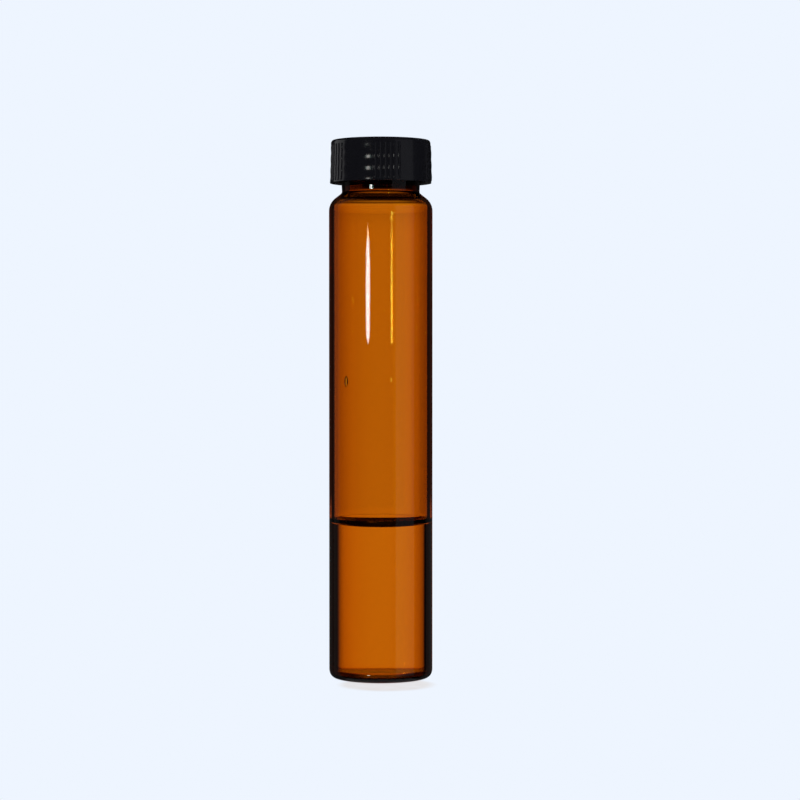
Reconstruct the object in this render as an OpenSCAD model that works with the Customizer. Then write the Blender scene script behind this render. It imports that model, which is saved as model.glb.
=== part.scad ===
// Screw-top sample vial: a tall round glass tube with a shoulder, a short threaded
// neck, a black ribbed screw cap with a sealing liner, and a sample in the bottom.
// Origin: centre of the base on the surface it stands on, +Z up.

/* [Vial body] */
// Outside diameter of the body
body_d = 27; // [24:0.5:30]
// Height of the closed vial, from the base to the top of the cap
total_h = 140; // [90:1:160]
// Wall thickness of the body
wall = 1.25; // [0.9:0.05:1.5]
// Thickness of the floor at its rim
floor_t = 1.24; // [1.2:0.02:2]
// Rise of the floor's inside in the middle
floor_rise = 0.05; // [0:0.05:0.5]
// Rise of the pushed-up centre of the base
push_up = 0.85; // [0.2:0.05:0.9]
// Width of the flat ring the vial stands on
ring_w = 1.9; // [0.6:0.1:2.5]
// Width of the rounded heel, seen from below
heel_w = 1.3; // [1:0.1:2.5]
// Height of the rounded heel
heel_h = 2; // [1.2:0.1:2.5]
// Radius between the wall and the floor, inside
inner_corner_r = 0.85; // [0.5:0.05:2.5]
// Radius of the rounded shoulder
shoulder_r = 4.2; // [3:0.1:5]
// Radius of the shoulder on the inside
inner_shoulder_r = 2.6; // [2:0.1:3]
// How much higher the inside shoulder starts than the outside one
inner_shoulder_rise = 0.5; // [0:0.05:1]
// Slope of the shoulder's flat cone, measured from the vertical wall
shoulder_angle = 52; // [45:1:60]

/* [Neck and thread] */
// Outside diameter of the plain neck at the shoulder corner
neck_d = 20.3; // [19.5:0.1:20.7]
// How far the plain neck draws in at its waist
neck_waist = 0.03; // [0:0.01:0.1]
// Diameter of the neck at the root of its thread
root_d = 21.4; // [21:0.1:21.6]
// Diameter over the crest of the thread
thread_d = 23.6; // [23:0.1:23.7]
// Inside diameter of the neck
bore_d = 17.1; // [14:0.1:17.5]
// Distance from the shoulder corner to the glass rim
finish_h = 11.1; // [10.4:0.1:11.8]
// Rise of the thread in one turn
pitch = 3.175; // [3.1:0.025:3.25]
// Turns of thread on the neck
neck_turns = 1.25; // [1:0.05:1.4]

/* [Screw cap] */
// Outside diameter over the plain band at the foot of the cap
cap_d = 26.8; // [26.6:0.1:27.4]
// Height of the cap
cap_h = 11.1; // [10.8:0.1:11.6]
// Thickness of the cap's top
cap_top_t = 1.3; // [1:0.1:1.5]
// Inside diameter at the root of the cap's thread
cap_root_d = 24; // [23.9:0.05:24.2]
// Inside diameter over the crest of the cap's thread
cap_crest_d = 22; // [21.9:0.05:22.4]
// Turns of thread in the cap
cap_turns = 1.2; // [1:0.05:1.3]
// Groups of grip ribs around the cap
rib_groups = 5; // [3:1:6]
// Ribs in one group
ribs_per_group = 6; // [3:1:7]
// Angle from one rib to the next
rib_step = 5.7; // [5:0.1:7]
// Radius of one half-round rib
rib_r = 0.42; // [0.35:0.01:0.5]
// How far a rib stands out of the smooth panels
rib_out = 0.24; // [0.15:0.01:0.3]

/* [Liner] */
// Diameter of the sealing disc
liner_d = 23.4; // [22:0.1:23.7]
// Thickness of the sealing disc
liner_t = 1.2; // [1:0.1:1.5]
// Thickness of the smooth face that seals on the rim
liner_face_t = 0.15; // [0.1:0.05:0.3]

/* [Sample] */
// Height of the flat middle of the liquid above the base
liquid_z = 39.55; // [20:0.05:80]
// How far the liquid climbs the wall above its flat middle
meniscus_h = 2.1; // [0.5:0.1:2.6]

/* [Hidden] */
$fn = 96;
R = body_d / 2;
ri = R - wall;
seat_gap = 0.05;                         // between rim and liner, and liner and cap
wet_gap = 0.02;                          // between the liquid's solid and the wall
liner_top = total_h - cap_top_t - seat_gap;
rim_z = liner_top - liner_t - seat_gap;  // top of the glass
corner_z = rim_z - finish_h;             // where shoulder and neck meet
nr = neck_d / 2;
rr = root_d / 2;
br = bore_d / 2;
lip = 0.5;
foot_r = R - heel_w;                     // outer edge of the ring it stands on
dome_r = foot_r - ring_w;                // inner edge of that ring
floor_r = ri - inner_corner_r;           // edge of the floor's inside
// Shoulder: an arc tangent to the body, then a cone tangent to that arc
sa = shoulder_angle;
sc = R - shoulder_r;                     // radius at which the arc's centre lies
sn = [cos(sa), sin(sa)];                 // outward normal of the cone
sz = corner_z - (shoulder_r - (nr - sc) * cos(sa)) / sin(sa);
waist_r = nr - neck_waist;
neck_grow = 0.0175;                      // the neck widens with the square of the height over its waist
neck_fillet = 0.75;
bore_fillet = 0.6;
// Height of the centre of a fillet of radius f, between the cone tangent to an arc (its
// centre at radius cx and height cz, its radius r) and a wall at radius w
function fillet_z(cx, cz, r, w, f) = cz + (r + f - (w + f - cx) * cos(sa)) / sin(sa);
function arc(cx, cz, r, a0, a1, n = 10) =
    [for (i = [0:n]) let (a = a0 + (a1 - a0) * i / n) [cx + r * cos(a), cz + r * sin(a)]];
// Height of the domed underside at radius r
function dome(r) = r >= dome_r ? 0 : push_up * pow(1 - pow(r / dome_r, 2), 1.5);
// Height of the floor's inside at radius r
function floor_z(r) = floor_t + floor_rise * pow(1 - pow(r / floor_r, 2), 2);
nzf = fillet_z(sc, sz, shoulder_r, waist_r, neck_fillet);
isc = ri - inner_shoulder_r;
isz = sz + inner_shoulder_rise;
bzf = fillet_z(isc, isz, inner_shoulder_r, br, bore_fillet);
neck_top = corner_z + 3.4;               // from here the neck widens to the thread root
function neck_radius(z) = waist_r + neck_grow * pow(z - corner_z, 2);
function blend(t) = t * t * (3 - 2 * t);

outer_profile = concat(
    [for (i = [0:12]) let (r = dome_r * i / 12) [r, dome(r)]],
    [for (i = [0:10]) let (a = 9 * i) [foot_r + heel_w * sin(a), heel_h * (1 - cos(a))]],
    arc(sc, sz, shoulder_r, 0, sa),
    arc(waist_r + neck_fillet, nzf, neck_fillet, 180 + sa, 180, 6),
    [for (i = [1:6]) let (z = nzf + (neck_top - nzf) * i / 6) [neck_radius(z), z]],
    [for (i = [1:5]) let (t = i / 5, r = neck_radius(neck_top)) [r + (rr - r) * blend(t), neck_top + 0.8 * t]],
    arc(rr - lip, rim_z - lip, lip, 0, 90, 5)
);
inner_profile = concat(
    arc(br + lip, rim_z - lip, lip, 90, 180, 5),
    arc(br + bore_fillet, bzf, bore_fillet, 180, 180 + sa, 6),
    arc(isc, isz, inner_shoulder_r, sa, 0),
    arc(floor_r, floor_t + inner_corner_r, inner_corner_r, 0, -90, 8),
    [for (i = [11:-1:0]) let (r = floor_r * i / 12) [r, floor_z(r)]]
);

// Points of a helical ridge: section s is a list of [radius, height, fades], and a
// fading point moves to radius r_end over the first and last part of the ridge
function ridge_points(s, turns, r_end, n) =
    [for (i = [0:n]) let (a = 360 * turns * i / n, k = min(1, a / 50, (360 * turns - a) / 50))
        for (p = s) let (r = p[2] ? r_end + (p[0] - r_end) * k : p[0])
            [r * cos(a), r * sin(a), p[1] + pitch * a / 360]];
function ridge_faces(m, n) = concat(
    [[for (j = [m - 1:-1:0]) j]],
    [for (i = [0:n - 1]) for (j = [0:m - 1]) [i * m + j, i * m + (j + 1) % m, (i + 1) * m + (j + 1) % m, (i + 1) * m + j]],
    [[for (j = [0:m - 1]) n * m + j]]
);
module ridge(s, turns, r_end) {
    n = ceil(turns * 40);
    polyhedron(points = ridge_points(s, turns, r_end, n), faces = ridge_faces(len(s), n), convexity = 6);
}

// Thread on the glass: rounded crest, steep flanks, sunk 0.4 into the neck
thread_z0 = rim_z - 2.2 - pitch * neck_turns;
tr = thread_d / 2;
neck_section = [[rr - 0.4, -1.4, 0], [tr - 0.3, -0.62, 1], [tr, -0.3, 1], [tr, 0.3, 1], [tr - 0.3, 0.62, 1], [rr - 0.4, 1.4, 0]];
// Thread in the cap: it bears on the underside of the neck's thread
cr = cap_root_d / 2;
cc = cap_crest_d / 2;
cap_thread_drop = 1.32;
cap_thread_start = 60;
cap_section = [[cr + 0.3, 0.9, 0], [cc + 0.25, 0.42, 1], [cc, 0.2, 1], [cc, -0.2, 1], [cc + 0.25, -0.42, 1], [cr + 0.3, -0.9, 0]];

module glass_vial() {
    color([0.62, 0.28, 0.04, 0.6]) {
        rotate_extrude() polygon(concat(outer_profile, inner_profile));
        translate([0, 0, thread_z0]) ridge(neck_section, neck_turns, rr - 0.1);
    }
}

module sample_liquid() {
    r0 = ri - wet_gap;
    corner = inner_corner_r - wet_gap;
    color([0.9, 0.9, 0.88, 0.4])
        rotate_extrude() polygon(concat(
            [for (i = [0:11]) let (r = floor_r * i / 12) [r, floor_z(r) + wet_gap]],
            arc(r0 - corner, floor_t + wet_gap + corner, corner, -90, 0, 8),
            [for (i = [0:16]) let (d = 9 * pow(i / 16, 1.6)) [r0 - d, liquid_z + meniscus_h * exp(-d / 1.9)]],
            [[0, liquid_z]]
        ));
}

module cap_liner() {
    z0 = liner_top - liner_t;
    color([0.93, 0.93, 0.9])
        rotate_extrude() polygon([[0, z0], [liner_d / 2 - 0.1, z0], [liner_d / 2, z0 + liner_face_t],
            [liner_d / 2, liner_top - 0.1], [liner_d / 2 - 0.1, liner_top], [0, liner_top]]);
}

cap_z = total_h - cap_h;                 // foot of the cap
band_r = cap_d / 2;
panel_r = band_r - 0.27;                 // smooth panels, at the foot of the ribs
cap_edge = 0.6;

module cap_rib(a) {
    rotate([0, 0, a]) translate([panel_r - 0.05 + rib_out - rib_r, 0, 0]) {
        translate([0, 0, cap_z + 1.2]) cylinder(r = rib_r, h = cap_h - 2.6, $fn = 32);
        translate([0, 0, total_h - 1.4]) cylinder(r1 = rib_r, r2 = rib_r - 0.3, h = 0.5, $fn = 32);
    }
}

module cap_shell() {
    rotate_extrude() polygon(concat(
        [[0, total_h - cap_top_t], [cr - 0.3, total_h - cap_top_t], [cr, total_h - cap_top_t - 0.3], [cr, cap_z + 0.4],
         [cr + 0.35, cap_z], [band_r - 0.15, cap_z], [band_r, cap_z + 0.15], [band_r, cap_z + 1.25],
         [band_r - 0.06, cap_z + 1.5], [panel_r + 0.03, cap_z + 1.9], [panel_r, cap_z + 2.1]],
        arc(panel_r - 0.1 - cap_edge, total_h - cap_edge, cap_edge, 0, 90, 6),
        [[0, total_h]]
    ));
}

module screw_cap() {
    color([0.05, 0.05, 0.06]) {
        cap_shell();
        for (g = [0:rib_groups - 1], k = [0:ribs_per_group - 1])
            cap_rib(-82 + 360 / rib_groups * g + rib_step * (k - (ribs_per_group - 1) / 2));
        translate([0, 0, thread_z0 - cap_thread_drop + pitch * cap_thread_start / 360])
            rotate([0, 0, cap_thread_start]) ridge(cap_section, cap_turns, cr + 0.1);
    }
}

glass_vial();
sample_liquid();
cap_liner();
screw_cap();
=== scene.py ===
import math

import bpy
import numpy as np
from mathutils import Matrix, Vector


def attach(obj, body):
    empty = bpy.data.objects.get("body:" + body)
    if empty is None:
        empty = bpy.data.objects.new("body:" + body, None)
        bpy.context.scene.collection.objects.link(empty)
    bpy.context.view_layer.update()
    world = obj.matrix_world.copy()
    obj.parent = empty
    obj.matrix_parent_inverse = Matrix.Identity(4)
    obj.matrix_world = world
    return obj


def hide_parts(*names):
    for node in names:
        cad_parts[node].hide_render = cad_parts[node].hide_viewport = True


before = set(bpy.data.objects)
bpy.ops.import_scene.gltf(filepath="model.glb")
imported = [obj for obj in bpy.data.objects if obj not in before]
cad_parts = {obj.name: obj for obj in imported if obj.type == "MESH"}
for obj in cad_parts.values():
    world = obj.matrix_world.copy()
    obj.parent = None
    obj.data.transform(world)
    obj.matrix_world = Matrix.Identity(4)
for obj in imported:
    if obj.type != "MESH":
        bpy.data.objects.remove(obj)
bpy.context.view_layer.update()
MM = 0.001
scene = bpy.context.scene

# ------------------------------------------------------------------ sizes, in millimetres
R, RI = 13.5, 12.25                  # body, outside and inside
HEEL_W, HEEL_H = 1.3, 2.1
FOOT_R, DOME_R, PUSH_UP = R - HEEL_W, 10.3, 0.85
FLOOR_T, CORNER_R = 1.24, 0.85      # the floor at its rim, and its inner corner
FLOOR_R, FLOOR_RISE, FLOOR_POW = RI - CORNER_R, 0.05, 2.0
SC, SHOULDER_R, SA = 9.3, 4.2, 52.0  # shoulder arc's centre radius, its radius, its angle
NECK_R, ROOT_R, CREST_R, BORE_R = 10.12, 10.7, 11.8, 8.55
NECK_FILLET, NECK_GROW, NECK_WAIST = 0.75, 0.0175, 126.14
IN_R, IN_RISE, BORE_FILLET = 2.6, 0.50, 0.6   # the shoulder on the inside
RIM_Z, CORNER_Z, PITCH = 137.4, 126.3, 3.175
LIP = 0.5
WALL = R - RI
SN = (math.cos(math.radians(SA)), math.sin(math.radians(SA)))
SZ = CORNER_Z - (SHOULDER_R - (NECK_R + 0.03 - SC) * SN[0]) / SN[1]
THREAD_FOOT = CORNER_Z + 4.1
THREAD_TURNS = 1.25
THREAD_Z0 = RIM_Z - 2.2 - PITCH * THREAD_TURNS
LIQUID_Z, MENISCUS = 39.55, 2.1
WET_Z = LIQUID_Z + MENISCUS          # the liquid wets the wall up to here
CAP_Z, CAP_H, TOP_Z, CAP_TOP_T = 128.9, 11.1, 140.0, 1.3
FOOT_RING_R, PANEL_R = 13.37, 13.09
CAP_ROOT, CAP_CREST = 12.0, 11.0
LINER_TOP, LINER_T, LINER_R = 138.65, 1.2, 11.7


def fillet_z(cx, cz, r, w, f):
    """Height of a fillet's centre between the cone tangent to an arc and a wall at radius w."""
    return cz + (r + f - (w + f - cx) * SN[0]) / SN[1]


def dome(r):
    return 0.0 if r >= DOME_R else PUSH_UP * (1 - (r / DOME_R) ** 2) ** 1.5


def floor_rise(r):
    """The floor's inside is pushed up in the middle too."""
    return 0.0 if r >= FLOOR_R else FLOOR_RISE * (1 - (r / FLOOR_R) ** 2) ** FLOOR_POW


def arc(cx, cz, r, a0, a1, n):
    return [(cx + r * math.cos(a), cz + r * math.sin(a)) for a in np.radians(np.linspace(a0, a1, n + 1))]


def run(p, q, step, hem=0.06):
    """Points strictly between p and q, with one close to each end so that shading stays true along the run."""
    p, q = np.array(p, float), np.array(q, float)
    length = float(np.linalg.norm(q - p))
    hem = min(hem, length / 4)
    n = max(1, int(round((length - 2 * hem) / step)))
    t = [hem + (length - 2 * hem) * i / n for i in range(n + 1)]
    return [tuple(p + (q - p) * s / length) for s in t]


def smooth(x):
    x = np.clip(x, 0.0, 1.0)
    return x * x * (3 - 2 * x)


def lathe(name, rows, columns, start=None, end=None, group_of=None, hollow=None):
    """A closed skin over rows of points, each row an (n, 3) array in millimetres. start and end close it with a
    point each. group_of(row index) gives the material slot of the faces past that row."""
    rows = [np.asarray(r, float) for r in rows]
    n = columns
    verts = np.concatenate(rows)
    faces, slots = [], []
    count = len(rows)
    j = np.arange(n)
    k = (j + 1) % n
    for i in range(count - 1):
        a, b = i * n, (i + 1) * n
        faces.append(np.stack([a + j, a + k, b + k, b + j], 1))
        slots.append(np.full(n, group_of(i) if group_of else 0))
    quads = np.concatenate(faces)
    slots = list(np.concatenate(slots))
    faces = quads.tolist()
    if start is not None:
        c = len(verts)
        verts = np.concatenate([verts, [start]])
        faces += np.stack([np.full(n, c), k, j], 1).tolist()
        slots += [group_of(-1) if group_of else 0] * n
    if end is not None:
        c = len(verts)
        b = (count - 1) * n
        verts = np.concatenate([verts, [end]])
        faces += np.stack([np.full(n, c), b + j, b + k], 1).tolist()
        slots += [group_of(count - 1) if group_of else 0] * n
    return build(name, verts, faces, slots, hollow)


def cavity(centre, axes, size, rings=16, columns=24):
    """An ellipsoid whose faces look inwards: a bubble inside a solid. axes are its three unit vectors."""
    a, b, c = (np.array(v, float) * h for v, h in zip(axes, size))
    centre = np.array(centre, float)
    verts = [centre + c]
    for i in range(1, rings):
        p = math.pi * i / rings
        for j in range(columns):
            t = 2 * math.pi * j / columns
            verts.append(centre + (a * math.cos(t) + b * math.sin(t)) * math.sin(p) + c * math.cos(p))
    verts.append(centre - c)
    at = lambda i, j: 1 + i * columns + j % columns
    faces = [[0, at(0, j), at(0, j + 1)] for j in range(columns)]
    for i in range(rings - 2):
        faces += [[at(i, j), at(i + 1, j), at(i + 1, j + 1), at(i, j + 1)] for j in range(columns)]
    faces += [[len(verts) - 1, at(rings - 2, j + 1), at(rings - 2, j)] for j in range(columns)]
    verts = np.array(verts)
    n = np.cross(verts[faces[0][1]] - verts[0], verts[faces[0][2]] - verts[0])
    if float(np.dot(n, c)) > 0:
        faces = [f[::-1] for f in faces]
    return verts, faces


def build(name, verts, faces, slots=None, hollow=None):
    verts = np.asarray(verts, float)
    # the faces look outwards if the enclosed volume is positive
    vol = 0.0
    for f in faces[:: max(1, len(faces) // 20000)]:
        a = verts[f[0]]
        for m in range(1, len(f) - 1):
            vol += float(np.dot(a, np.cross(verts[f[m]], verts[f[m + 1]])))
    if vol < 0:
        faces = [f[::-1] for f in faces]
    if hollow:
        base = len(verts)
        verts = np.concatenate([verts, hollow[0]])
        faces = list(faces) + [[i + base for i in f] for f in hollow[1]]
        slots = None if slots is None else list(slots) + [0] * len(hollow[1])
    mesh = bpy.data.meshes.new(name)
    mesh.from_pydata((verts * MM).tolist(), [], faces)
    mesh.polygons.foreach_set("use_smooth", [True] * len(mesh.polygons))
    if slots is not None:
        mesh.polygons.foreach_set("material_index", [int(s) for s in slots])
    mesh.update()
    ob = bpy.data.objects.new(name, mesh)
    scene.collection.objects.link(ob)
    return ob


# ------------------------------------------------------------------ the glass
COLS = 240
TH = np.arange(COLS) * 2 * math.pi / COLS
COS, SIN = np.cos(TH), np.sin(TH)


def ring(r, z):
    """One row of the glass: r and z may vary round the row."""
    r, z = np.broadcast_to(r, TH.shape), np.broadcast_to(z, TH.shape)
    return np.stack([r * COS, r * SIN, z], 1)


def neck_thread(z):
    """How far the thread stands out of the neck's root at height z, round the whole row."""
    out = np.zeros(COLS)
    for turn in (0, 1):
        a = np.degrees(TH) + 360 * turn
        live = a <= 360 * THREAD_TURNS
        fade = smooth(np.minimum(a, 360 * THREAD_TURNS - a) / 55)
        d = np.abs(z - (THREAD_Z0 + PITCH * a / 360))
        out = np.maximum(out, np.where(live, (CREST_R - ROOT_R) * fade * (1 - smooth((d - 0.22) / 0.98)), 0))
    return out


def heel_bead(z):
    """The heel stands a little proud of the wall round the front; its upper side takes a glint."""
    d = np.abs((np.degrees(TH) + 90 + 180) % 360 - 180)
    return 0.100 * (1 - float(smooth((z - 1.55) / 0.88))) * float(smooth(z / 1.2)) * smooth((75 - d) / 40)


def glass_rows():
    nzf = fillet_z(SC, SZ, SHOULDER_R, NECK_R, NECK_FILLET)
    bzf = fillet_z(RI - IN_R, SZ + IN_RISE, IN_R, BORE_R, BORE_FILLET)
    out, inner = [], []
    # outside: underside, heel, wall, shoulder, neck
    for r in np.linspace(0.6, DOME_R, 30):
        out.append((r, dome(r)))
    out += [(r, 0) for r in np.linspace(DOME_R, FOOT_R, 5)[1:-1]]
    for a in np.radians(np.linspace(0, 90, 27)):
        out.append((FOOT_R + HEEL_W * math.sin(a), HEEL_H * (1 - math.cos(a))))
    out += [(R, z) for z in np.arange(HEEL_H + 0.1, HEEL_H + 1.25, 0.1)]
    out += run((R, HEEL_H + 1.2), (R, SZ), 7.0)
    shoulder = arc(SC, SZ, SHOULDER_R, 0, SA, 30)
    # the fillet runs on to the lean that the neck has over its waist
    lean = 2 * NECK_GROW * (nzf - NECK_WAIST)
    fillet = arc(NECK_R + NECK_FILLET, nzf, NECK_FILLET, 180 + SA, 180 - math.degrees(lean), 24)
    out += shoulder + run(shoulder[-1], fillet[0], 0.5) + fillet
    (r0, z0), z1 = fillet[-1], THREAD_FOOT - 0.7
    for t in np.linspace(0.02, 1.0, 30):
        h = (z1 - z0) * t
        out.append((r0 + lean * h + NECK_GROW * h * h, z0 + h))
    top_r = out[-1][0]
    for t in np.linspace(0.15, 1.0, 7):
        out.append((top_r + (ROOT_R - top_r) * float(smooth(t)), z1 + 0.8 * t))
    rows = [ring(r + heel_bead(z) if r > 12.9 and z < 3.5 else r, z) for r, z in out]
    z = z1 + 0.8 + 0.12
    while z < RIM_Z - LIP - 0.06:
        rows.append(ring(ROOT_R + neck_thread(z), z))
        z += 0.12
    for r, zz in arc(ROOT_R - LIP, RIM_Z - LIP, LIP, 0, 90, 8) + [(9.9, RIM_Z), (9.25, RIM_Z)]:
        rows.append(ring(r, zz))
    # inside: lip, bore, shoulder, wall, floor
    inner += arc(BORE_R + LIP, RIM_Z - LIP, LIP, 90, 180, 8)
    inner += run((BORE_R, RIM_Z - LIP), (BORE_R, bzf), 2.0)
    fil = arc(BORE_R + BORE_FILLET, bzf, BORE_FILLET, 180, 180 + SA, 14)
    sh = arc(RI - IN_R, SZ + IN_RISE, IN_R, SA, 0, 28)
    inner += fil + run(fil[-1], sh[0], 0.5) + sh
    inner += run((RI, SZ + IN_RISE), (RI, WET_Z), 7.0)
    inner += [(RI, WET_Z)] + run((RI, WET_Z), (RI, FLOOR_T + CORNER_R), 6.0)
    inner += arc(RI - CORNER_R, FLOOR_T + CORNER_R, CORNER_R, 0, -90, 14)
    for r in np.linspace(FLOOR_R - 0.15, 0.6, 34):
        inner.append((r, FLOOR_T + floor_rise(r)))
    rows += [ring(r, zz) for r, zz in inner]
    return rows


rows = glass_rows()
# a small air bubble in the wall, drawn out along it
BUB_AT, BUB_FLAT = math.radians(-90 - 42.6), math.radians(-90 + 17)
bubble = cavity((12.87 * math.cos(BUB_AT), 12.87 * math.sin(BUB_AT), 77.4),
                ((math.cos(BUB_FLAT), math.sin(BUB_FLAT), 0), (-math.sin(BUB_FLAT), math.cos(BUB_FLAT), 0), (0, 0, 1)), (0.29, 0.60, 1.42))
vial = lathe("vial_glass", rows, COLS, start=(0, 0, PUSH_UP), end=(0, 0, FLOOR_T + FLOOR_RISE), hollow=bubble)

# ------------------------------------------------------------------ the sample
LIQ_R = RI - 0.005


def liquid_rows():
    pts = []
    for r in np.linspace(0.6, FLOOR_R - 0.15, 34):
        pts.append((r, FLOOR_T + 0.005 + floor_rise(r)))
    c = CORNER_R - 0.005
    pts += arc(LIQ_R - c, FLOOR_T + 0.005 + c, c, -90, 0, 14)
    pts += run((LIQ_R, FLOOR_T + CORNER_R), (LIQ_R, WET_Z), 6.0)
    top = len(pts)
    pts.append((LIQ_R, WET_Z))
    d = 0.0
    ds = np.concatenate([np.linspace(0.06, 1.2, 20), np.linspace(1.35, 5.0, 24), np.linspace(5.4, 11.6, 14)])
    for d in ds:
        pts.append((LIQ_R - d, LIQUID_Z + MENISCUS * math.exp(-d / 1.9)))
    return [ring(r, z) for r, z in pts], top


rows, TOP_ROW = liquid_rows()
liquid = lathe("sample", rows, COLS, start=(0, 0, FLOOR_T + 0.005 + FLOOR_RISE), end=(0, 0, LIQUID_Z),
               group_of=lambda i: 1 if i >= TOP_ROW else 0)

# ------------------------------------------------------------------ the cap
RIB_C, RIB_R = PANEL_R + 0.17 - 0.42, 0.42
RIB_MID = -82.8
RIB_ANGLES = np.array([RIB_MID + 72 * g + 5.7 * (k - 2.5) for g in range(5) for k in range(6)])


def cap_columns():
    """Angles of the cap's columns: close together on the ribs, wide on the panels."""
    local = [-2.85, -2.3, -1.95, -1.72, -1.5, -1.2, -0.8, -0.4, 0, 0.4, 0.8, 1.2, 1.5, 1.72, 1.95, 2.3]
    angles = []
    for g in range(5):
        mid = RIB_MID + 72 * g
        for k in range(6):
            angles += [mid + 5.7 * (k - 2.5) + a for a in local]
        edge = mid + 5.7 * 3
        angles += list(np.linspace(edge, edge + 72 - 5.7 * 6, 24)[:-1])
    return np.radians(np.array(sorted(a % 360 for a in angles)))


CTH = cap_columns()
CN = len(CTH)
CDEG = np.degrees(CTH)


def cring(r, z):
    r, z = np.broadcast_to(r, CTH.shape), np.broadcast_to(z, CTH.shape)
    return np.stack([r * np.cos(CTH), r * np.sin(CTH), z], 1)


def rib_offset(z, wall):
    """How far the ribs stand out of a wall of that radius, round the row. Their feet blend into the wall."""
    if z <= 129.25 or z >= 138.9:
        return np.zeros(CN)
    radius = RIB_R
    if z > 138.5:
        t = (z - 138.5) / 0.4
        radius = RIB_R * math.sqrt(max(0.0, 1 - t * t))
    d = (CDEG[:, None] - RIB_ANGLES[None, :] + 180) % 360 - 180
    arcl = np.radians(np.abs(d).min(1)) * RIB_C
    crest = RIB_C + (radius - RIB_R) * 0.9 + (wall - PANEL_R)
    inside = np.maximum(radius * radius - arcl * arcl, 0)
    stand = crest + np.sqrt(inside) - wall
    # a soft maximum, so that each rib has a small fillet at its foot
    k = 0.05
    return np.where(arcl < radius + 0.2, 0.5 * (stand + np.sqrt(stand * stand + k * k)) - 0.5 * (np.sqrt(0.35 ** 2 + k * k) - 0.35), 0) \
        * smooth((0.55 - arcl) / 0.13) * float(smooth((z - 129.25) / 0.35))


def sink(z):
    """The wall draws in slightly where the thread behind it is thick, in a slow helix."""
    a = CDEG + 104
    wave = np.cos(2 * math.pi * ((z - 132.74) / 2.95 - a / 360))
    ribbed = smooth((24 - np.abs(CDEG - 277.2)) / 5)
    span = smooth((139.3 - z) / 0.6) * (1 - 0.9 * ribbed * smooth((z - 136.0) / 0.8))
    return -0.076 * span * (0.5 - 0.5 * wave)


def cap_thread(z):
    """How far the inside thread stands into the cap from its root, round the row."""
    out = np.zeros(CN)
    start, turns = 60.0, 1.2
    z0 = THREAD_Z0 - 1.32
    for turn in (0, 1):
        a = (CDEG - start) % 360 + 360 * turn
        live = a <= 360 * turns
        fade = smooth(np.minimum(a, 360 * turns - a) / 50)
        d = np.abs(z - (z0 + PITCH * start / 360 + PITCH * a / 360))
        out = np.maximum(out, np.where(live, (CAP_ROOT - CAP_CREST) * fade * (1 - smooth((d - 0.14) / 0.72)), 0))
    return out


def outer_wall(z):
    """Radius of the cap's plain wall at height z: it widens evenly towards its foot, a little faster low down."""
    low = max(0.0, 131.8 - z)
    return PANEL_R + 0.07 - 0.0235 * (z - 131.5) + 0.002 * low * low


def cap_rows():
    rows = []
    ceil_z = TOP_Z - CAP_TOP_T
    for r in (0.8, 2.5, 4.5, 6.5, 8.5, 10.2, 11.2, 11.6):
        rows.append(cring(r, ceil_z))
    for r, z in arc(11.7, ceil_z - 0.3, 0.3, 90, 0, 6):
        rows.append(cring(r, z))
    z = ceil_z - 0.3 - 0.1
    while z > CAP_Z + 0.5:
        rows.append(cring(CAP_ROOT - cap_thread(z), z))
        z -= 0.15
    for r, z in [(12.0, CAP_Z + 0.46), (12.04, CAP_Z + 0.40), (12.24, CAP_Z + 0.21), (12.34, CAP_Z + 0.16), (12.46, CAP_Z + 0.135),
                 (12.8, CAP_Z + 0.085), (13.1, CAP_Z + 0.035), (13.2, CAP_Z + 0.012)]:
        rows.append(cring(r, z))
    foot = outer_wall(CAP_Z + 0.1)
    for r, z in arc(foot - 0.1, CAP_Z + 0.1, 0.1, -90, 0, 6)[1:]:
        rows.append(cring(r, z))
    zs = list(np.arange(129.12, 131.6, 0.1)) + list(np.arange(131.7, 137.8, 0.15)) + list(np.arange(137.86, 138.95, 0.075))
    for z in zs:
        w = outer_wall(z) + sink(z)
        rows.append(cring(w + rib_offset(z, outer_wall(z)), z))
    top_r = outer_wall(139.0)
    for a in np.radians(np.linspace(0, 90, 15)):
        rows.append(cring(top_r - 0.5 + 0.5 * math.cos(a), TOP_Z - 1.0 + 1.0 * math.sin(a)))
    for r in (12.3, 12.0, 11.2, 10, 8, 6, 4, 2, 0.8):
        rows.append(cring(r, TOP_Z - 0.05 * float(smooth((12.2 - r) / 1.0))))
    return rows


cap = lathe("ribbed_cap", cap_rows(), CN, start=(0, 0, TOP_Z - CAP_TOP_T), end=(0, 0, TOP_Z - 0.05))

# ------------------------------------------------------------------ the liner
def liner_rows():
    z0, z1 = LINER_TOP - LINER_T, LINER_TOP
    pts = [(r, z0) for r in (0.8, 3, 6, 8.4)]
    # the glass rim's print in the sealing face
    for r in np.linspace(8.6, 10.5, 20):
        e = smooth((r - 8.7) / 0.3) * smooth((10.4 - r) / 0.3)
        pts.append((r, z0 + 0.03 * float(e)))
    pts += [(10.8, z0), (11.2, z0), (11.5, z0)]
    pts += arc(LINER_R - 0.08, z0 + 0.08, 0.08, -90, 0, 5)
    face = z0 + 0.22
    pts += [(LINER_R, face - 0.03), (LINER_R - 0.02, face - 0.01), (LINER_R - 0.025, face), (LINER_R - 0.02, face + 0.01)]
    split = len(pts) - 2
    pts += [(LINER_R, face + 0.03), (LINER_R, z1 - 0.3)]
    pts += arc(LINER_R - 0.1, z1 - 0.1, 0.1, 0, 90, 5)
    pts += [(r, z1) for r in (11.2, 9, 6, 3, 0.8)]
    return [ring(r, z) for r, z in pts], split


rows, FACE_ROW = liner_rows()
liner = lathe("sealing_liner", rows, COLS, start=(0, 0, LINER_TOP - LINER_T), end=(0, 0, LINER_TOP),
              group_of=lambda i: 1 if i >= FACE_ROW else 0)


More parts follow.
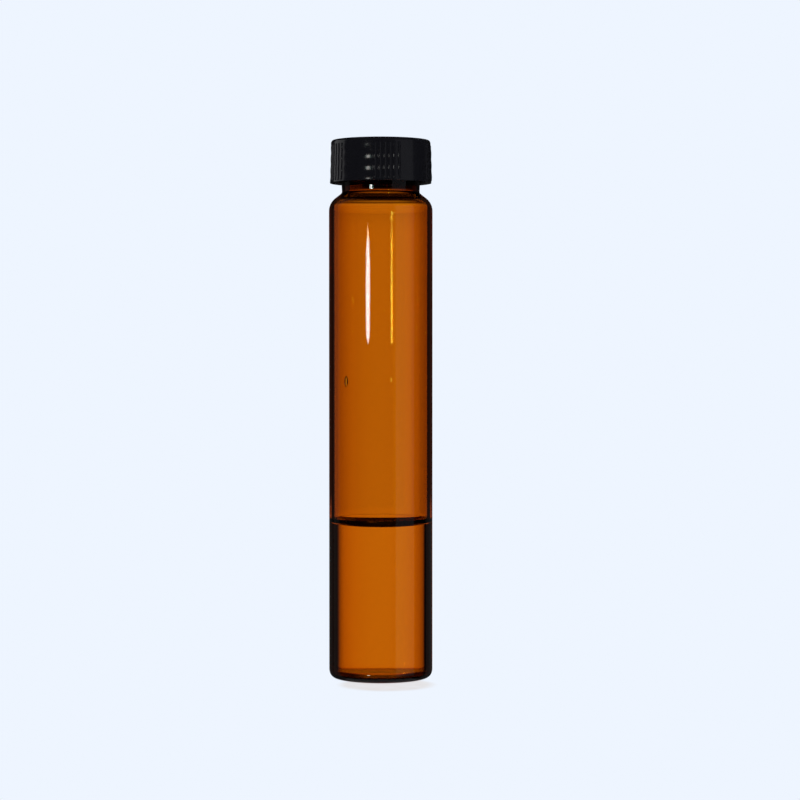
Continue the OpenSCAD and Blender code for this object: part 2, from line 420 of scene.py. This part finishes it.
# ------------------------------------------------------------------ materials
def new_material(name):
    m = bpy.data.materials.new(name)
    m.use_nodes = True
    nt = m.node_tree
    nt.nodes.clear()
    out = nt.nodes.new("ShaderNodeOutputMaterial")
    bsdf = nt.nodes.new("ShaderNodeBsdfPrincipled")
    nt.links.new(bsdf.outputs["BSDF"], out.inputs["Surface"])
    return m, nt, bsdf, out


def coords(nt, scale):
    tc = nt.nodes.new("ShaderNodeTexCoord")
    mp = nt.nodes.new("ShaderNodeMapping")
    mp.inputs["Scale"].default_value = scale
    nt.links.new(tc.outputs["Object"], mp.inputs["Vector"])
    return mp.outputs["Vector"]


def noise(nt, vec, scale, detail=3.0, rough=0.5):
    n = nt.nodes.new("ShaderNodeTexNoise")
    n.inputs["Scale"].default_value = scale
    n.inputs["Detail"].default_value = detail
    n.inputs["Roughness"].default_value = rough
    nt.links.new(vec, n.inputs["Vector"])
    return n.outputs["Fac"]


def remap(nt, val, lo, hi, a=0.0, b=1.0):
    m = nt.nodes.new("ShaderNodeMapRange")
    m.inputs["From Min"].default_value = a
    m.inputs["From Max"].default_value = b
    m.inputs["To Min"].default_value = lo
    m.inputs["To Max"].default_value = hi
    nt.links.new(val, m.inputs["Value"])
    return m.outputs["Result"]


def bump(nt, bsdf, height, distance, strength=1.0):
    b = nt.nodes.new("ShaderNodeBump")
    b.inputs["Distance"].default_value = distance
    b.inputs["Strength"].default_value = strength
    nt.links.new(height, b.inputs["Height"])
    nt.links.new(b.outputs["Normal"], bsdf.inputs["Normal"])


def amber():
    """Amber glass drawn from tube: clear, with faint draw lines along it. The colour is in its depth. Where the
    sample wets the inner wall the light passes from glass to liquid, so the index there is the ratio of the two."""
    m, nt, b, out = new_material("amber_glass")
    b.inputs["Base Color"].default_value = (1, 1, 1, 1)
    b.inputs["Roughness"].default_value = 0.0
    b.inputs["IOR"].default_value = 1.5
    b.inputs["Transmission Weight"].default_value = 1.0
    streaks = noise(nt, coords(nt, (260, 260, 9)), 1.0, 2.0)
    bump(nt, b, streaks, 0.000003, 0.5)
    sep = nt.nodes.new("ShaderNodeSeparateXYZ")
    nt.links.new(coords(nt, (1, 1, 1)), sep.inputs["Vector"])

    def calc(op, a, c):
        n = nt.nodes.new("ShaderNodeMath")
        n.operation = op
        for i, v in enumerate((a, c)):
            if isinstance(v, float):
                n.inputs[i].default_value = v
            else:
                nt.links.new(v, n.inputs[i])
        return n.outputs[0]

    r2 = calc("ADD", calc("MULTIPLY", sep.outputs["X"], sep.outputs["X"]), calc("MULTIPLY", sep.outputs["Y"], sep.outputs["Y"]))
    wet = calc("MULTIPLY", calc("LESS_THAN", r2, (12.6 * MM) ** 2),
               calc("MULTIPLY", calc("GREATER_THAN", sep.outputs["Z"], 1.0 * MM), calc("LESS_THAN", sep.outputs["Z"], WET_Z * MM)))
    nt.links.new(remap(nt, wet, 1.5, 1.5 / 1.333), b.inputs["IOR"])
    v = nt.nodes.new("ShaderNodeVolumeAbsorption")
    v.inputs["Color"].default_value = (0.906, 0.678, 0.028, 1)
    v.inputs["Density"].default_value = 2600.0
    nt.links.new(v.outputs["Volume"], out.inputs["Volume"])
    return m


vial.data.materials.append(amber())


def clear_liquid(name, ior, ripple):
    m, nt, b, out = new_material(name)
    b.inputs["Base Color"].default_value = (1, 1, 1, 1)
    b.inputs["Roughness"].default_value = 0.0
    b.inputs["IOR"].default_value = ior
    b.inputs["Transmission Weight"].default_value = 1.0
    if ripple:
        bump(nt, b, noise(nt, coords(nt, (60, 60, 60)), 1.0, 1.0), 0.00001, 0.3)
    return m


liquid.data.materials.append(clear_liquid("sample_against_glass", 1.0, False))
liquid.data.materials.append(clear_liquid("sample_surface", 1.333, True))


def black_plastic():
    m, nt, b, out = new_material("cap_black_plastic")
    vec = coords(nt, (1, 1, 1))
    cloud = noise(nt, vec, 220, 4.0, 0.6)
    fine = noise(nt, vec, 5200, 3.0, 0.6)
    mix = nt.nodes.new("ShaderNodeMix")
    mix.data_type = "RGBA"
    mix.inputs["A"].default_value = (0.0053, 0.0053, 0.0074, 1)
    mix.inputs["B"].default_value = (0.0068, 0.0067, 0.0088, 1)
    nt.links.new(cloud, mix.inputs["Factor"])
    nt.links.new(mix.outputs["Result"], b.inputs["Base Color"])
    nt.links.new(remap(nt, cloud, 0.10, 0.17, 0.3, 0.7), b.inputs["Roughness"])
    b.inputs["IOR"].default_value = 1.46
    bump(nt, b, fine, 0.000003, 0.5)
    return m


cap.data.materials.append(black_plastic())


def liner_material(name, colour, deeper, rough, grain):
    m, nt, b, out = new_material(name)
    vec = coords(nt, (1, 1, 1))
    cloud = noise(nt, vec, grain, 4.0, 0.6)
    mix = nt.nodes.new("ShaderNodeMix")
    mix.data_type = "RGBA"
    mix.inputs["A"].default_value = deeper
    mix.inputs["B"].default_value = colour
    nt.links.new(cloud, mix.inputs["Factor"])
    nt.links.new(mix.outputs["Result"], b.inputs["Base Color"])
    nt.links.new(remap(nt, cloud, rough - 0.08, rough + 0.08), b.inputs["Roughness"])
    bump(nt, b, cloud, 0.00003, 0.5)
    return m


liner.data.materials.append(liner_material("liner_face", (0.86, 0.86, 0.84, 1), (0.8, 0.8, 0.77, 1), 0.3, 900))
liner.data.materials.append(liner_material("liner_foam", (0.8, 0.79, 0.73, 1), (0.66, 0.65, 0.6, 1), 0.75, 3500))

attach(vial, "vial"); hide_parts("glass_vial")
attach(liquid, "vial"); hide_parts("sample_liquid")
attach(liner, "liner"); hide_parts("cap_liner")
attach(cap, "cap"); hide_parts("screw_cap")

# ------------------------------------------------------------------ camera
cam_data = bpy.data.cameras.new("camera")
cam_data.lens = 103.33
cam_data.sensor_width = 36.0
cam_data.clip_start = 0.01
cam_data.clip_end = 20.0
camera = bpy.data.objects.new("camera", cam_data)
camera.location = (0.0, -0.600, 0.088)
camera.rotation_euler = (math.radians(90 - 1.4897), 0.0, math.radians(-0.4793))
scene.collection.objects.link(camera)
scene.camera = camera

# ------------------------------------------------------------------ stage and light
BACKGROUND = (0.855, 0.913, 1.0)


def flat_mesh(name, verts, faces):
    mesh = bpy.data.meshes.new(name)
    mesh.from_pydata(verts, [], faces)
    mesh.update()
    ob = bpy.data.objects.new(name, mesh)
    scene.collection.objects.link(ob)
    return ob


def emitter(name, colour, strength):
    m = bpy.data.materials.new(name)
    m.use_nodes = True
    nt = m.node_tree
    nt.nodes.clear()
    out = nt.nodes.new("ShaderNodeOutputMaterial")
    e = nt.nodes.new("ShaderNodeEmission")
    e.inputs["Color"].default_value = (*colour, 1)
    e.inputs["Strength"].default_value = strength
    nt.links.new(e.outputs["Emission"], out.inputs["Surface"])
    return m, nt, e


def rays(ob, camera=False, diffuse=False, glossy=False, transmission=False, shadow=False):
    ob.visible_camera = camera
    ob.visible_diffuse = diffuse
    ob.visible_glossy = glossy
    ob.visible_transmission = transmission
    ob.visible_shadow = shadow
    ob.visible_volume_scatter = False


# A: the lit backdrop that shines through the glass. It is brightest in the middle, and fades sooner higher up
PANEL_X0, PANEL_X1, PANEL_Y, PANEL_Z0, PANEL_Z1 = -0.108, 0.098, 0.164, -0.039, 0.160
back = flat_mesh("backdrop_light", [(PANEL_X0, PANEL_Y, PANEL_Z0), (PANEL_X1, PANEL_Y, PANEL_Z0),
                                    (PANEL_X1, PANEL_Y, PANEL_Z1), (PANEL_X0, PANEL_Y, PANEL_Z1)], [(0, 1, 2, 3)])
m, bnt, e = emitter("backdrop_light", (1, 1, 1), 1.0)


def curve_of_x(nt, x, stops):
    """A ramp over x in mm from -110 to 110."""
    n = nt.nodes.new("ShaderNodeValToRGB")
    ramp = n.color_ramp
    stops = sorted(stops)
    while len(ramp.elements) < len(stops):
        ramp.elements.new(0.5)
    for el, (px, v, *tone) in zip(ramp.elements, stops):
        el.position = (px + 110) / 220
        el.color = (v * tone[0], v * tone[1], v, 1) if tone else (v, v, v, 1)
    nt.links.new(x, n.inputs["Fac"])
    return n.outputs["Color"]


tc = bnt.nodes.new("ShaderNodeTexCoord")
sep = bnt.nodes.new("ShaderNodeSeparateXYZ")
bnt.links.new(tc.outputs["Object"], sep.inputs["Vector"])
xn = remap(bnt, sep.outputs["X"], 0.0, 1.0, -0.110, 0.110)
low = curve_of_x(bnt, xn, [(-99, 0.0), (-94, 0.17), (-90, 0.34), (-86, 0.48), (-80, 0.60), (-73, 0.70), (-64, 0.82), (-56, 0.91),
                           (-53, 0.95, 1.09, 1.20), (-38, 1.0, 1.085, 1.22), (-21, 1.0, 1.085, 1.22), (-17, 1.03), (0, 1.03), (38, 1.02),
                           (51, 0.96), (63, 0.89), (73, 0.70), (79, 0.53), (84, 0.36), (88, 0.18), (94, 0.04), (98, 0.0)])
high = curve_of_x(bnt, xn, [(-106, 0.0), (-100, 0.05), (-94, 0.42), (-87, 0.62), (-70, 0.66), (-45, 0.66), (-37, 0.70), (-31, 0.76), (-25, 0.82),
                            (-19, 0.89), (-12, 0.95), (-6, 0.97), (0, 0.97), (6, 0.97), (9, 0.985, 1.08, 1.20), (14, 0.965, 1.10, 1.24),
                            (19.5, 0.93, 1.11, 1.24), (23, 0.87, 1.03, 1.06), (26, 0.83), (31, 0.77), (37, 0.70), (45, 0.69), (70, 0.71),
                            (88, 0.64), (94, 0.3), (98, 0.0)])
level = bnt.nodes.new("ShaderNodeMapRange")
level.interpolation_type = "SMOOTHSTEP"
level.inputs["From Min"].default_value = 0.0265
level.inputs["From Max"].default_value = 0.0310
bnt.links.new(sep.outputs["Z"], level.inputs["Value"])
mixed = bnt.nodes.new("ShaderNodeMix")
mixed.data_type = "RGBA"
bnt.links.new(level.outputs["Result"], mixed.inputs["Factor"])
bnt.links.new(low, mixed.inputs["A"])
bnt.links.new(high, mixed.inputs["B"])
top_edge = bnt.nodes.new("ShaderNodeMapRange")
top_edge.interpolation_type = "SMOOTHSTEP"
top_edge.inputs["From Min"].default_value = 0.1525
top_edge.inputs["From Max"].default_value = 0.1230
bnt.links.new(sep.outputs["Z"], top_edge.inputs["Value"])
# light that has turned back inside the glass is dimmed where it comes in from the side
turned = bnt.nodes.new("ShaderNodeLightPath")
aside = bnt.nodes.new("ShaderNodeMath")
aside.operation = "ABSOLUTE"
bnt.links.new(sep.outputs["X"], aside.inputs[0])
far = remap(bnt, aside.outputs[0], 1.0, 0.12, 0.018, 0.040)
keep = bnt.nodes.new("ShaderNodeMix")
keep.inputs["A"].default_value = 1.0
once = bnt.nodes.new("ShaderNodeMath")
once.operation = "GREATER_THAN"
once.inputs[1].default_value = 0.5
bnt.links.new(turned.outputs["Glossy Depth"], once.inputs[0])
over = bnt.nodes.new("ShaderNodeMath")
over.operation = "MULTIPLY"
bnt.links.new(once.outputs[0], over.inputs[0])
bnt.links.new(remap(bnt, sep.outputs["Z"], 0.0, 1.0, 0.029, 0.036), over.inputs[1])
bnt.links.new(over.outputs[0], keep.inputs["Factor"])
bnt.links.new(far, keep.inputs["B"])
# and light that has turned back twice is left out low down
twice = bnt.nodes.new("ShaderNodeMath")
twice.operation = "LESS_THAN"
twice.inputs[1].default_value = 1.5
bnt.links.new(turned.outputs["Glossy Depth"], twice.inputs[0])
high_up = bnt.nodes.new("ShaderNodeMath")
high_up.operation = "GREATER_THAN"
high_up.inputs[1].default_value = 0.110
bnt.links.new(sep.outputs["Z"], high_up.inputs[0])
either = bnt.nodes.new("ShaderNodeMath")
either.operation = "MAXIMUM"
bnt.links.new(twice.outputs[0], either.inputs[0])
bnt.links.new(high_up.outputs[0], either.inputs[1])
both = bnt.nodes.new("ShaderNodeMath")
both.operation = "MULTIPLY"
bnt.links.new(keep.outputs["Result"], both.inputs[0])
bnt.links.new(either.outputs[0], both.inputs[1])
dim = bnt.nodes.new("ShaderNodeMath")
dim.operation = "MULTIPLY"
bnt.links.new(top_edge.outputs["Result"], dim.inputs[0])
bnt.links.new(both.outputs[0], dim.inputs[1])
lit = bnt.nodes.new("ShaderNodeVectorMath")
lit.operation = "SCALE"
bnt.links.new(mixed.outputs["Result"], lit.inputs[0])
bnt.links.new(dim.outputs[0], lit.inputs["Scale"])
bnt.links.new(lit.outputs["Vector"], e.inputs["Color"])
back.data.materials.append(m)
rays(back, transmission=True)

# B: the small key light, whose reflection is the long streak. Its outline is a drop: wide low down, a point at the top.
# The rays that reach it from the far wall see a narrower, warmer core, with a spot over it and one under it
KEY_AZ, KEY_D = math.radians(-28.25), 0.700
KEY_SHAPE = [(0.0854, 0.0), (0.0879, 0.020), (0.0901, 0.042), (0.0934, 0.0470), (0.0990, 0.0500), (0.1157, 0.0540), (0.1268, 0.0510),
             (0.1324, 0.0500), (0.1379, 0.0450), (0.1423, 0.0340), (0.1457, 0.0235), (0.1490, 0.0145), (0.1512, 0.0115), (0.1535, 0.0)]
CORE_SHAPE = [(0.0600, 0.0), (0.0637, 0.0), (0.0645, 0.5), (0.0660, 0.5), (0.0668, 0.0), (0.0855, 0.0), (0.0870, 0.8), (0.0930, 1.0), (0.1170, 1.0),
              (0.1280, 0.75), (0.1350, 0.7), (0.1445, 0.85), (0.1515, 0.35), (0.1555, 0.15), (0.1575, 0.2), (0.1588, 1.3), (0.1602, 1.3),
              (0.1620, 0.0)]


def shape_at(shape, z):
    return float(np.interp(z, [a for a, _ in shape], [b for _, b in shape]))


def key_light():
    side = Vector((math.cos(KEY_AZ), math.sin(KEY_AZ), 0))
    mid = Vector((math.sin(KEY_AZ) * KEY_D, -math.cos(KEY_AZ) * KEY_D, 0))
    us = np.linspace(-0.100, 0.100, 81)
    zs = np.arange(0.0600, 0.1628, 0.0006)
    verts, glow, core = [], [], []
    for z in zs:
        half, strength = shape_at(KEY_SHAPE, z), shape_at(CORE_SHAPE, z)
        soft_edge = max(0.002, min(0.026, half * 0.9))
        sigma = 0.034 if z > 0.1570 else 0.020
        warm = float(smooth((z - 0.1405) / 0.0065))
        for u in us:
            verts.append(tuple(mid + side * u + Vector((0, 0, z))))
            g = 0.0 if half <= 0 else min(1.0, half / 0.02) * (1 - float(smooth((abs(u) - half + soft_edge) / (2 * soft_edge))))
            rim = float(smooth((0.75 - g) / 0.5))          # the streak's edges are cooler
            tone = [1 - 0.55 * rim * (1 - warm), (0.975 - 0.05 * rim) * (1 - 0.28 * warm), (0.95 - 0.17 * rim) * (1 - 0.64 * warm)]
            glow.append([g * KEY_POWER * t for t in tone] + [1.0])
            c = strength * math.exp(-0.5 * (u / sigma) ** 2)
            core.append([c * CORE_POWER * t for t in CORE_COLOUR] + [1.0])
    n = len(us)
    faces = [(i * n + j, i * n + j + 1, (i + 1) * n + j + 1, (i + 1) * n + j) for i in range(len(zs) - 1) for j in range(n - 1)]
    ob = flat_mesh("key_light", verts, faces)
    for attr, values in (("glow", glow), ("core", core)):
        at = ob.data.attributes.new(attr, "FLOAT_COLOR", "POINT")
        at.data.foreach_set("color", np.array(values, dtype=np.float32).ravel())
    m, nt, e = emitter("key_light", (1, 1, 1), 1.0)
    path = nt.nodes.new("ShaderNodeLightPath")

    def calc(op, a, b):
        n = nt.nodes.new("ShaderNodeMath")
        n.operation = op
        for i, v in enumerate((a, b)):
            if isinstance(v, float):
                n.inputs[i].default_value = v
            else:
                nt.links.new(v, n.inputs[i])
        return n.outputs[0]

    def scaled(attr, factor):
        a = nt.nodes.new("ShaderNodeAttribute")
        a.attribute_name = attr
        v = nt.nodes.new("ShaderNodeVectorMath")
        v.operation = "SCALE"
        nt.links.new(a.outputs["Color"], v.inputs[0])
        nt.links.new(factor, v.inputs["Scale"])
        return v.outputs["Vector"]

    depth = path.outputs["Transmission Depth"]
    # mirror-like glass shows it in full, the less glossy cap more dimly
    sharp = calc("ADD", calc("MULTIPLY", path.outputs["Is Singular Ray"], 1.0 - ON_CAP), ON_CAP)
    add = nt.nodes.new("ShaderNodeVectorMath")
    add.operation = "ADD"
    nt.links.new(scaled("glow", calc("MULTIPLY", calc("LESS_THAN", depth, 0.5), sharp)), add.inputs[0])
    nt.links.new(scaled("core", calc("GREATER_THAN", depth, 3.5)), add.inputs[1])
    nt.links.new(add.outputs["Vector"], e.inputs["Color"])
    # where neither counts, the panel isn't seen at all
    clear = nt.nodes.new("ShaderNodeBsdfTransparent")
    either = nt.nodes.new("ShaderNodeMixShader")
    nt.links.new(calc("MULTIPLY", calc("GREATER_THAN", depth, 0.5), calc("LESS_THAN", depth, 3.5)), either.inputs["Fac"])
    nt.links.new(e.outputs["Emission"], either.inputs[1])
    nt.links.new(clear.outputs["BSDF"], either.inputs[2])
    out = [n for n in nt.nodes if n.type == "OUTPUT_MATERIAL"][0]
    nt.links.new(either.outputs["Shader"], out.inputs["Surface"])
    ob.data.materials.append(m)
    return ob


ON_CAP = 0.42
KEY_POWER = 20.5
CORE_POWER, CORE_COLOUR = 800.0, (0.04, 0.176, 1.0)
key = key_light()
rays(key, glossy=True, transmission=True)

# C: the wide soft light on the right, dim in reflections
pts = []
for az in np.linspace(32.3, 78.0, 13):
    a = math.radians(az)
    pts.append((math.sin(a) * 0.3, -math.cos(a) * 0.3))
verts = [(x, y, -0.07) for x, y in pts] + [(x, y, 0.250) for x, y in pts]
n = len(pts)
soft = flat_mesh("soft_light", verts, [(i, i + 1, n + i + 1, n + i) for i in range(n - 1)])
m, snt, e = emitter("soft_light", (1, 1, 1), 1.0)
slp = snt.nodes.new("ShaderNodeLightPath")
pick = snt.nodes.new("ShaderNodeMix")
pick.data_type = "RGBA"
pick.inputs["A"].default_value = (0.9, 0.9, 0.9, 1)
pick.inputs["B"].default_value = (0.135, 0.138, 0.150, 1)
snt.links.new(slp.outputs["Is Glossy Ray"], pick.inputs["Factor"])
snt.links.new(pick.outputs["Result"], e.inputs["Color"])
soft.data.materials.append(m)
rays(soft, glossy=True)

# D: the room: an even pale surround for the camera, and dark flags with lit gaps for reflections
world = bpy.data.worlds.new("studio")
scene.world = world
world.use_nodes = True
nt = world.node_tree
nt.nodes.clear()
wout = nt.nodes.new("ShaderNodeOutputWorld")
bg = nt.nodes.new("ShaderNodeBackground")
nt.links.new(bg.outputs["Background"], wout.inputs["Surface"])
lp = nt.nodes.new("ShaderNodeLightPath")
tc = nt.nodes.new("ShaderNodeTexCoord")
sep = nt.nodes.new("ShaderNodeSeparateXYZ")
nt.links.new(tc.outputs["Generated"], sep.inputs["Vector"])


def math_node(op, a, b=None, clamp=False):
    n = nt.nodes.new("ShaderNodeMath")
    n.operation = op
    n.use_clamp = clamp
    for i, v in enumerate((a, b)):
        if v is None:
            continue
        if isinstance(v, (int, float)):
            n.inputs[i].default_value = v
        else:
            nt.links.new(v, n.inputs[i])
    return n.outputs[0]


def mix_rgb(fac, a, b):
    n = nt.nodes.new("ShaderNodeMix")
    n.data_type = "RGBA"
    nt.links.new(fac, n.inputs["Factor"])
    for key_name, v in (("A", a), ("B", b)):
        if isinstance(v, tuple):
            n.inputs[key_name].default_value = (*v, 1)
        else:
            nt.links.new(v, n.inputs[key_name])
    return n.outputs["Result"]


def step_node(val, lo, hi):
    n = nt.nodes.new("ShaderNodeMapRange")
    n.interpolation_type = "SMOOTHSTEP"
    n.inputs["From Min"].default_value = lo
    n.inputs["From Max"].default_value = hi
    nt.links.new(val, n.inputs["Value"])
    return n.outputs["Result"]


X, Y, Z = sep.outputs["X"], sep.outputs["Y"], sep.outputs["Z"]
flat = math_node("SQRT", math_node("ADD", math_node("MULTIPLY", X, X), math_node("MULTIPLY", Y, Y)))
cx = math_node("DIVIDE", X, flat)          # direction round the horizon
cy = math_node("DIVIDE", Y, flat)
win_left = step_node(math_node("MULTIPLY", cx, -1.0), math.cos(math.radians(30)), math.cos(math.radians(24)))
below = math_node("MULTIPLY", step_node(math_node("MULTIPLY", Z, -1.0), math.sin(math.radians(10)), math.sin(math.radians(14))),
                  math_node("SUBTRACT", 1.0, step_node(math_node("MULTIPLY", Z, -1.0), math.sin(math.radians(46)), math.sin(math.radians(54)))))
behind = step_node(cy, math.cos(math.radians(40)), math.cos(math.radians(30)))
below = math_node("MULTIPLY", below, math_node("SUBTRACT", 1.0, behind))
through = math_node("MULTIPLY", math_node("MAXIMUM", win_left, below), math_node("LESS_THAN", lp.outputs["Glossy Depth"], 1.5))
# seen from behind, the glass is lit through from the front as evenly
front = math_node("MULTIPLY", step_node(math_node("MULTIPLY", cy, -1.0), 0.25, 0.45), math_node("LESS_THAN", lp.outputs["Glossy Depth"], 0.5))
through = math_node("MAXIMUM", through, front)
downward = step_node(math_node("MULTIPLY", Z, -1.0), math.sin(math.radians(3.3)), math.sin(math.radians(5.0)))
through = math_node("ADD", math_node("MULTIPLY", through, 0.9), math_node("ADD", math_node("MULTIPLY", downward, -0.025), 0.035))


def side_window(azimuth, outer, inner):
    """A lit gap round an azimuth in degrees, measured from the front towards +X."""
    a = math.radians(azimuth)
    toward = math_node("ADD", math_node("MULTIPLY", cx, math.sin(a)), math_node("MULTIPLY", cy, -math.cos(a)))
    return step_node(toward, math.cos(math.radians(outer)), math.cos(math.radians(inner)))


# the less glossy cap takes more from the left than the mirror-like glass does
left_glow = math_node("ADD", math_node("MULTIPLY", lp.outputs["Is Singular Ray"], -0.5), 0.5)
level_way = math_node("MULTIPLY", step_node(Z, math.sin(math.radians(-8)), math.sin(math.radians(-3))),
                      math_node("SUBTRACT", 1.0, step_node(Z, math.sin(math.radians(20)), math.sin(math.radians(26)))))
left_rough = math_node("MULTIPLY", side_window(-113.5, 21.5, 19), math_node("MULTIPLY", left_glow, level_way))
left_sharp = math_node("MULTIPLY", side_window(-117.5, 15.5, 11.5), math_node("MULTIPLY", lp.outputs["Is Singular Ray"], 0.05))
underfoot = math_node("MULTIPLY", step_node(math_node("MULTIPLY", Z, -1.0), math.sin(math.radians(40)), math.sin(math.radians(52))), 0.2)
rims = math_node("ADD", math_node("MULTIPLY", side_window(140, 23, 17), 0.04), math_node("MULTIPLY", side_window(-156, 25, 17), 0.025))
rims = math_node("MULTIPLY", rims, math_node("ADD", math_node("MULTIPLY", downward, 0.75), 0.25))
gloss = math_node("ADD", math_node("ADD", math_node("ADD", left_rough, left_sharp), math_node("ADD", rims, underfoot)), 0.006)


def grey(v):
    n = nt.nodes.new("ShaderNodeCombineXYZ")
    for i in range(3):
        nt.links.new(v, n.inputs[i])
    return n.outputs[0]


look = mix_rgb(lp.outputs["Is Transmission Ray"], grey(gloss), grey(through))
look = mix_rgb(lp.outputs["Is Diffuse Ray"], look, (0.9, 0.92, 0.95))
# a camera ray wins over the rest
look = mix_rgb(lp.outputs["Is Camera Ray"], look, BACKGROUND)
nt.links.new(look, bg.inputs["Color"])
bg.inputs["Strength"].default_value = 1.0

# E: the pale floor, with a faint grey patch of painted shade where the vial meets it, and a little contact shadow
fr = 0.9
floor = flat_mesh("floor", [(-fr, -fr, -0.0001), (fr, -fr, -0.0001), (fr, fr, -0.0001), (-fr, fr, -0.0001)], [(0, 1, 2, 3)])
m, fnt, fe = emitter("floor", BACKGROUND, 1.0)
fo = next(n for n in fnt.nodes if n.type == "OUTPUT_MATERIAL")
tc = fnt.nodes.new("ShaderNodeTexCoord")


def patch(centre, half, lo, hi):
    """1 inside an ellipse on the floor, falling to 0 outside it."""
    mp = fnt.nodes.new("ShaderNodeMapping")
    mp.inputs["Location"].default_value = (-centre[0] / half[0], -centre[1] / half[1], 0)
    mp.inputs["Scale"].default_value = (1 / half[0], 1 / half[1], 0)
    fnt.links.new(tc.outputs["Object"], mp.inputs["Vector"])
    ln = fnt.nodes.new("ShaderNodeVectorMath")
    ln.operation = "LENGTH"
    fnt.links.new(mp.outputs["Vector"], ln.inputs[0])
    mr = fnt.nodes.new("ShaderNodeMapRange")
    mr.interpolation_type = "SMOOTHSTEP"
    mr.inputs["From Min"].default_value = hi
    mr.inputs["From Max"].default_value = lo
    fnt.links.new(ln.outputs["Value"], mr.inputs["Value"])
    return mr.outputs["Result"]


grain = noise(fnt, coords(fnt, (1, 1, 1)), 260.0, 2.0)
# painted shade: foot's grey B colour is laid on the emissive floor in an ellipse just in front of the vial's foot, and
# noise varies its strength
foot = fnt.nodes.new("ShaderNodeMix")
foot.data_type = "RGBA"
foot.inputs["A"].default_value = (*BACKGROUND, 1)
foot.inputs["B"].default_value = (0.775, 0.758, 0.765, 1)
painted_shade_amount = fnt.nodes.new("ShaderNodeMath")
painted_shade_amount.operation = "MULTIPLY"
fnt.links.new(patch((0.0015, -0.0145), (0.0135, 0.0125), 0.72, 1.0), painted_shade_amount.inputs[0])
fnt.links.new(remap(fnt, grain, 0.75, 1.05, 0.3, 0.7), painted_shade_amount.inputs[1])
fnt.links.new(painted_shade_amount.outputs[0], foot.inputs["Factor"])
fnt.links.new(foot.outputs["Result"], fe.inputs["Color"])
fd = fnt.nodes.new("ShaderNodeBsdfDiffuse")
fd.inputs["Color"].default_value = (0.9, 0.94, 1.0, 1)
fm = fnt.nodes.new("ShaderNodeMixShader")
fnt.links.new(patch((0, 0), (0.0126, 0.0126), 0.94, 1.0), fm.inputs["Fac"])
fnt.links.new(fe.outputs[0], fm.inputs[1])
fnt.links.new(fd.outputs[0], fm.inputs[2])
fnt.links.new(fm.outputs[0], fo.inputs["Surface"])
floor.data.materials.append(m)
rays(floor, camera=True)

scene.view_settings.view_transform = "Standard"
scene.view_settings.look = "None"
scene.cycles.max_bounces = 20
scene.cycles.transmission_bounces = 20
scene.cycles.glossy_bounces = 8
scene.cycles.transparent_max_bounces = 16
